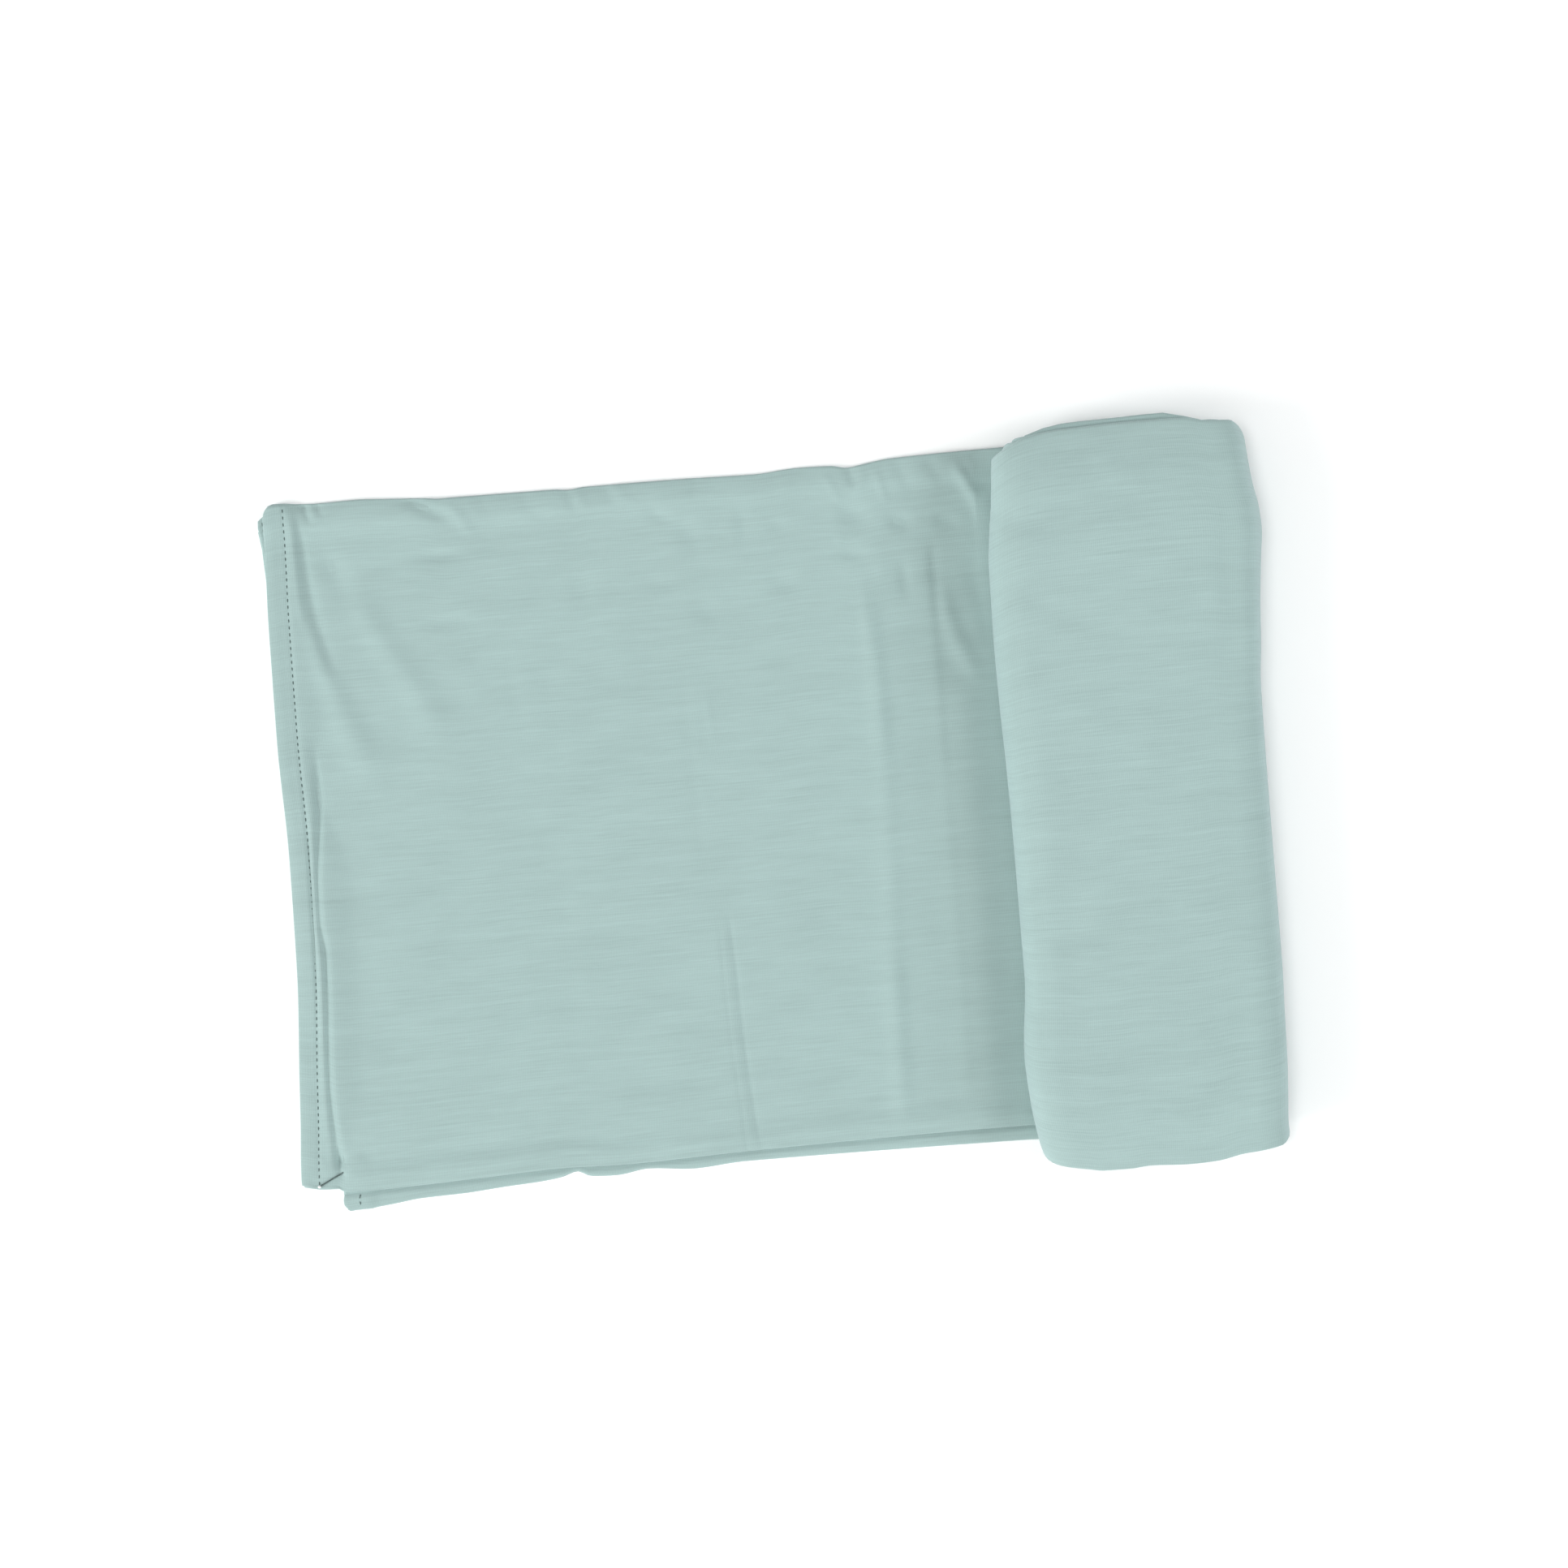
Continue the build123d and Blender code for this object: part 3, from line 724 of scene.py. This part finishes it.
def make_roll():
    """All of the rolled length, from under the roll's middle to the far hem at its heart."""
    route, reached = roll_route()
    far = reached[-1]
    main = far - reached
    distance, depth = hem_columns(np.array([turned_gap / 2]))
    extra = slice(0, len(distance) - 1)
    x0, z0, in_x, in_z, turn = (np.concatenate([r, np.repeat(r[-1:], len(distance[extra]))]) for r in route)
    end_distance = np.concatenate([main, distance[extra][::-1]])
    end_depth = np.concatenate([np.zeros(len(main)), depth[extra][::-1]])
    x0 = x0 + np.where(end_depth > 0, end_distance, 0.0)

    fine = spaced(0.0, (0.05, 0.005), (0.95, 0.0088), (1.0, 0.005))
    hidden = spaced(0.0, (0.04, 0.02), (0.95, 0.07), (1.0, 0.025))
    stations = section({3: hidden, 2: hidden, 1: hidden, 0: fine})
    low_back = roll_low_edge(turn)
    low_front = low_back + 3.5 + 1.5 * np.sin(turn * 5.0)
    top = roll_top(turn)
    hem_share = 1 - smooth((end_distance - 9.0) / 15.0)

    def heights(layer, y):
        side = smooth((y - 138.0) / 8.0)
        doubled = layer_gap - 0.05 + 0.5 * hem_share + 0.2 * side
        stack = [0.0, doubled, doubled + layer_gap, 2 * doubled + layer_gap][layer]
        return first_height + stack + np.zeros_like(y)

    ys, hs = place_section(stations, heights, low_front, low_back, top, end_depth)
    x = x0 + in_x * hs
    z = z0 + in_z * hs

    # The upper face's folds fade with depth, and the outermost turn's own edges curl in a little
    over = smooth(-in_z) * np.clip((z - 8) / 16, 0, 1)
    shaped_x, shaped_y, shaped_z = shape_roll(x, ys, z)
    shaped_z = shaped_z + roll_folds().at(shaped_x, shaped_y) * over
    edge = np.minimum(ys - low_back, top - ys)
    outer = (turn < 1.0) & (turn > 0.3)
    curl = 0.8 * np.exp(-np.clip(edge, 0, None) / 3.0) * outer * np.clip(1 - hs / 4, 0, 1)
    shaped_z = shaped_z - curl * smooth(-in_z)
    points = np.stack([shaped_x, shaped_y, shaped_z], axis=-1)
    across = across_lengths(ys, hs)
    along = strip_length + np.concatenate([reached, far + distance[extra][::-1]])
    piece = cloth_mesh("rolled_length", points, across, along)
    return piece, points, stations


# ---------------------------------------------------------------- stitches

def layer_rows(stations, layer):
    """The first of a layer's rows of points, and the one after its last."""
    rows = [n for n, s in enumerate(stations) if s[0] == "ply" and s[1] == layer]
    return rows[0], rows[-1] + 1


def hem_line(strip_grid, layer, inset):
    """Where a layer's stitches run: across the strip, at that distance from its hemmed edge.

    The front ply's row runs on a little way over the upper fold.
    """
    points, stations, distance, depth = strip_grid
    upper = np.where(depth == 0.0)[0]
    beside_stitches = upper[8]
    first, last = layer_rows(stations, layer)
    over_the_fold = 5 if layer == 3 else 0
    line = []
    for row in range(first, last + over_the_fold):
        at = inset(points[row, beside_stitches, 1])
        line.append([np.interp(at, distance[upper], points[row, upper, n]) for n in range(3)])
    return np.array(line)


def stitch_row(name, places, directions, ups):
    """Lockstitches, each a short thread that dips into the cloth at both ends."""
    sides, rings = 6, 7
    half_length, radius = 1.05, 0.24
    arch_height, sunk = 0.30, 0.24
    vertices, faces = [], []
    for place, way, up in zip(places, directions, ups):
        side = np.cross(way, up)
        base = len(vertices)
        for ring in range(rings):
            f = ring / (rings - 1)
            arch = math.sin(math.pi * f)
            centre = place + way * half_length * (2 * f - 1) + up * (arch_height * arch - sunk)
            r = radius * (0.55 + 0.45 * arch ** 0.5)
            for n in range(sides):
                a = 2 * math.pi * n / sides
                vertices.append(centre + side * r * math.cos(a) + up * r * 0.8 * math.sin(a))
        for ring in range(rings - 1):
            for n in range(sides):
                a, b = base + ring * sides + n, base + ring * sides + (n + 1) % sides
                faces.append((a, b, b + sides, a + sides))
        faces.append(tuple(base + n for n in range(sides))[::-1])
        faces.append(tuple(base + (rings - 1) * sides + n for n in range(sides)))
    mesh = bpy.data.meshes.new(name)
    mesh.from_pydata((np.array(vertices) * mm).tolist(), [], faces)
    mesh.polygons.foreach_set("use_smooth", [True] * len(mesh.polygons))
    piece = bpy.data.objects.new(name, mesh)
    bpy.context.scene.collection.objects.link(piece)
    return piece


def row_on_line(name, line, up_sign):
    """A row of stitches along a line of points, in mm."""
    steps = np.linalg.norm(np.diff(line, axis=0), axis=1)
    reached = np.concatenate([[0], np.cumsum(steps)])
    count = int((reached[-1] - stitch_pitch) / stitch_pitch)
    wanted = stitch_pitch * (0.6 + np.arange(count))
    place = np.stack([np.interp(wanted, reached, line[:, n]) for n in range(3)], axis=-1)
    ahead = np.stack([np.interp(wanted + 0.8, reached, line[:, n]) for n in range(3)], axis=-1)
    way = ahead - place
    way /= np.linalg.norm(way, axis=1)[:, None]
    up = np.tile([0.0, 0.0, float(up_sign)], (count, 1))
    up -= way * (way * up).sum(axis=1)[:, None]
    up /= np.linalg.norm(up, axis=1)[:, None]
    return stitch_row(name, place + up * thickness / 2, way, up)


# ---------------------------------------------------------------- materials

class Nodes:
    """Builds a node material with short calls."""

    def __init__(self, name):
        self.material = bpy.data.materials.new(name)
        self.material.use_nodes = True
        self.tree = self.material.node_tree
        self.shader = self.tree.nodes["Principled BSDF"]

    def add(self, kind, inputs=None, **settings):
        node = self.tree.nodes.new(kind)
        for key, value in settings.items():
            setattr(node, key, value)
        for key, value in (inputs or {}).items():
            if isinstance(value, bpy.types.NodeSocket):
                self.tree.links.new(value, node.inputs[key])
            else:
                node.inputs[key].default_value = value
        return node

    def math(self, operation, a, b=0.0, c=0.0, clamp=False):
        node = self.add("ShaderNodeMath", {0: a, 1: b, 2: c}, operation=operation, use_clamp=clamp)
        return node.outputs[0]

    def link(self, output, socket):
        self.tree.links.new(output, self.shader.inputs[socket])

    def set(self, **values):
        for key, value in values.items():
            self.shader.inputs[key.replace("_", " ")].default_value = value


def stretched_noise(n, u, v, length, width, detail, seed):
    """Noise in streaks of that length along the strip and that width across it, in metres."""
    x = n.math("MULTIPLY", u, 1 / length)
    y = n.math("MULTIPLY", v, 1 / width)
    place = n.add("ShaderNodeCombineXYZ", {0: x, 1: y, 2: seed})
    inputs = {"Vector": place.outputs[0], "Scale": 1.0, "Detail": detail, "Roughness": 0.55}
    return n.add("ShaderNodeTexNoise", inputs).outputs["Fac"]


def knit_material(name, colour, wale_pitch):
    """Fine jersey: wales across the strip, uneven yarn in streaks along it, fibre fuzz and soft mottling,
    with painted shade between the wales.
    """
    n = Nodes(name)
    knit = n.add("ShaderNodeUVMap", uv_map="knit")
    split = n.add("ShaderNodeSeparateXYZ", {0: knit.outputs[0]})
    u, v = split.outputs[0], split.outputs[1]

    wander = stretched_noise(n, u, v, 0.004, 0.03, 1.0, 3.1)
    shifted = n.math("ADD", u, n.math("MULTIPLY", wander, 0.35 * mm))
    wale = n.math("SINE", n.math("MULTIPLY", shifted, 2 * math.pi / (wale_pitch * mm)))
    course = n.math("SINE", n.math("MULTIPLY", v, 2 * math.pi / (course_pitch * mm)))
    long_slub = stretched_noise(n, u, v, 0.026, 0.0006, 1.0, 7.7)
    short_slub = stretched_noise(n, u, v, 0.013, 0.0004, 1.0, 1.3)
    band = stretched_noise(n, u, v, 0.080, 0.0035, 2.0, 2.4)
    mottle = stretched_noise(n, u, v, 0.024, 0.014, 2.0, 5.2)
    fuzz = stretched_noise(n, u, v, 0.0006, 0.0005, 2.0, 9.4)

    slub = n.math("ADD", n.math("MULTIPLY", long_slub, 0.6), n.math("MULTIPLY", short_slub, 0.4))
    shade = n.math("MULTIPLY_ADD", slub, 0.34, 0.83)
    # Painted shade: the colour darkens between the wales, in the knit's grooves
    shade = n.math("MULTIPLY_ADD", wale, 0.05, shade)
    shade = n.math("MULTIPLY_ADD", band, 0.07, n.math("ADD", shade, -0.035))
    shade = n.math("MULTIPLY_ADD", mottle, 0.10, n.math("ADD", shade, -0.05))
    shade = n.math("MULTIPLY_ADD", fuzz, 0.10, n.math("ADD", shade, -0.05))
    tint = n.add("ShaderNodeVectorMath", {0: colour, "Scale": shade}, operation="SCALE")
    n.link(tint.outputs[0], "Base Color")

    height = n.math("MULTIPLY", wale, 0.30)
    height = n.math("MULTIPLY_ADD", course, 0.15, height)
    height = n.math("MULTIPLY_ADD", slub, 0.5, height)
    height = n.math("MULTIPLY_ADD", fuzz, 0.5, height)
    relief = n.add("ShaderNodeBump", {"Height": height, "Strength": 0.55, "Distance": 0.09 * mm})
    n.link(relief.outputs[0], "Normal")
    rough = n.math("MULTIPLY_ADD", fuzz, 0.12, 0.84)
    n.link(rough, "Roughness")
    n.set(Sheen_Weight=0.35, Sheen_Roughness=0.5, Specular_IOR_Level=0.2)
    n.shader.inputs["Sheen Tint"].default_value = (0.86, 0.95, 1.0, 1)
    return n.material


def thread_material_painted_shade():
    n = Nodes("hem_thread_painted_shade")
    place = n.add("ShaderNodeTexCoord")
    noise = n.add("ShaderNodeTexNoise", {"Vector": place.outputs["Object"], "Scale": 3500.0, "Detail": 2.0})
    ramp = n.add("ShaderNodeValToRGB", {0: noise.outputs["Fac"]})
    # The thread's very dark colour is painted shade: it stands for stitches sunk in shadowed holes
    ramp.color_ramp.elements[0].color = (0.025, 0.045, 0.042, 1)
    ramp.color_ramp.elements[1].color = (0.10, 0.155, 0.145, 1)
    n.link(ramp.outputs[0], "Base Color")
    relief = n.add("ShaderNodeBump", {"Height": noise.outputs["Fac"], "Strength": 0.5, "Distance": 0.05 * mm})
    n.link(relief.outputs[0], "Normal")
    n.set(Roughness=0.7, Sheen_Weight=0.1)
    return n.material


def steel_material(name, colour, roughness):
    n = Nodes(name)
    place = n.add("ShaderNodeTexCoord")
    noise = n.add("ShaderNodeTexNoise", {"Vector": place.outputs["Object"], "Scale": 2200.0, "Detail": 3.0})
    rough = n.math("MULTIPLY_ADD", noise.outputs["Fac"], 0.12, roughness - 0.06)
    n.link(rough, "Roughness")
    shade = n.math("MULTIPLY_ADD", noise.outputs["Fac"], 0.2, 0.9)
    tint = n.add("ShaderNodeVectorMath", {0: colour, "Scale": shade}, operation="SCALE")
    n.link(tint.outputs[0], "Base Color")
    n.set(Metallic=1.0)
    return n.material


def floor_material():
    n = Nodes("floor")
    place = n.add("ShaderNodeTexCoord")
    noise = n.add("ShaderNodeTexNoise", {"Vector": place.outputs["Object"], "Scale": 3.0, "Detail": 1.0})
    shade = n.math("MULTIPLY_ADD", noise.outputs["Fac"], 0.01, 0.985)
    tint = n.add("ShaderNodeVectorMath", {0: (1.0, 1.0, 1.0), "Scale": shade}, operation="SCALE")
    n.link(tint.outputs[0], "Base Color")
    n.set(Roughness=0.9, Specular_IOR_Level=0.1)
    return n.material


# ---------------------------------------------------------------- floor, light and camera

def add_light(name, place, size, energy, colour):
    light = bpy.data.lights.new(name, "AREA")
    light.shape = "DISK"
    light.size = size
    light.energy = energy
    light.color = colour
    lamp = bpy.data.objects.new(name, light)
    lamp.location = place
    lamp.rotation_euler = (-lamp.location).to_track_quat("-Z", "Y").to_euler()
    bpy.context.scene.collection.objects.link(lamp)


def make_stage():
    """A plain pale floor under soft studio light: from the left, from above, and faintly from the right."""
    size = 6.0
    mesh = bpy.data.meshes.new("floor")
    corners = [(-size, -size, 0), (size, -size, 0), (size, size, 0), (-size, size, 0)]
    mesh.from_pydata(corners, [], [(0, 1, 2, 3)])
    floor = bpy.data.objects.new("floor", mesh)
    floor.data.materials.append(floor_material())
    bpy.context.scene.collection.objects.link(floor)

    add_light("side", (-2.3, -0.6, 1.2), 1.2, 40, (1.0, 1.0, 1.0))
    add_light("above", (-0.5, 0.1, 2.4), 0.9, 14, (1.0, 1.0, 1.0))
    add_light("edge", (2.2, -0.1, 1.3), 1.0, 29, (0.96, 0.98, 1.0))

    # The studio itself is brighter on the left and towards the viewer
    world = bpy.data.worlds.new("studio")
    bpy.context.scene.world = world
    world.use_nodes = True
    tree = world.node_tree
    way = tree.nodes.new("ShaderNodeTexCoord")
    toward = tree.nodes.new("ShaderNodeVectorMath")
    toward.operation = "DOT_PRODUCT"
    toward.inputs[1].default_value = (-0.62, -0.80, 0.0)
    tree.links.new(way.outputs["Generated"], toward.inputs[0])
    strength = tree.nodes.new("ShaderNodeMath")
    strength.operation = "MULTIPLY_ADD"
    strength.inputs[1].default_value = 0.5
    strength.inputs[2].default_value = 0.55
    tree.links.new(toward.outputs["Value"], strength.inputs[0])
    background = tree.nodes["Background"]
    background.inputs[0].default_value = (0.98, 1.0, 0.99, 1)
    tree.links.new(strength.outputs[0], background.inputs[1])


def make_camera():
    """Straight down from 1.6 m, turned so that the strip rises a little towards the roll."""
    lens_height, view_width, turn = 1.6, 0.6859, -4.4
    middle = (7.05 * mm, 14.5 * mm)
    data = bpy.data.cameras.new("camera")
    data.sensor_width = 36.0
    data.lens = data.sensor_width * lens_height / view_width
    data.clip_start, data.clip_end = 0.05, 20
    camera = bpy.data.objects.new("camera", data)
    camera.location = (middle[0], middle[1], lens_height)
    camera.rotation_euler = (0, 0, math.radians(turn))
    bpy.context.scene.collection.objects.link(camera)
    bpy.context.scene.camera = camera


# ---------------------------------------------------------------- the whole object

make_camera()
make_stage()
bpy.context.scene.view_settings.view_transform = "Standard"
bpy.context.scene.view_settings.look = "None"

jersey_colour = (0.341, 0.457, 0.444)
strip_knit = knit_material("jersey_strip", jersey_colour, 0.75)
roll_knit = knit_material("jersey_roll", jersey_colour, 0.86)
# The hem thread's dark colour is painted shade of the sunk stitches
thread = thread_material_painted_shade()

strip, *strip_grid = make_strip()
strip.data.materials.append(strip_knit)
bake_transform(strip)
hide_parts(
    "front_ply", "inner_front_ply", "inner_back_ply", "back_ply", "top_fold", "lower_front_fold",
    "lower_back_fold", "front_end_hem", "inner_front_end_hem", "inner_back_end_hem", "back_end_hem",
    "inner_front_side_hem", "inner_back_side_hem",
)

roll, roll_points, roll_stations = make_roll()
roll.data.materials.append(roll_knit)
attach(roll, "roll")
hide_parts("outer_turn", "second_turn", "third_turn", "core_turn", "far_end_hem")

for layer, node, inset, up_sign in [
    (3, "front_hem_stitches", front_inset, 1), (2, "inner_front_hem_stitches", front_inset, -1),
    (1, "inner_back_hem_stitches", back_inset, 1), (0, "back_hem_stitches", back_inset, -1),
]:
    row = row_on_line(node.replace("stitches", "thread"), hem_line(strip_grid, layer, inset), up_sign)
    row.data.materials.append(thread)
    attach(row, "tail")
    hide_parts(node)

far_rows = slice(*layer_rows(roll_stations, 3))
far_stitch_column = -12
far_row = row_on_line("far_hem_thread", roll_points[far_rows, far_stitch_column], -1)
far_row.data.materials.append(thread)
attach(far_row, "roll")
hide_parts("far_hem_stitches")

# The pin shaft's dark grey-green colour is painted shade and a painted reflection of the green cloth
for node, finish in [
    ("pin_shaft", steel_material("pin_shaft_steel", (0.12, 0.16, 0.155), 0.38)),
    ("pin_head", steel_material("pin_head_steel", (0.94, 0.945, 0.95), 0.30)),
]:
    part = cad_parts[node]
    part.data.materials.clear()
    part.data.materials.append(finish)
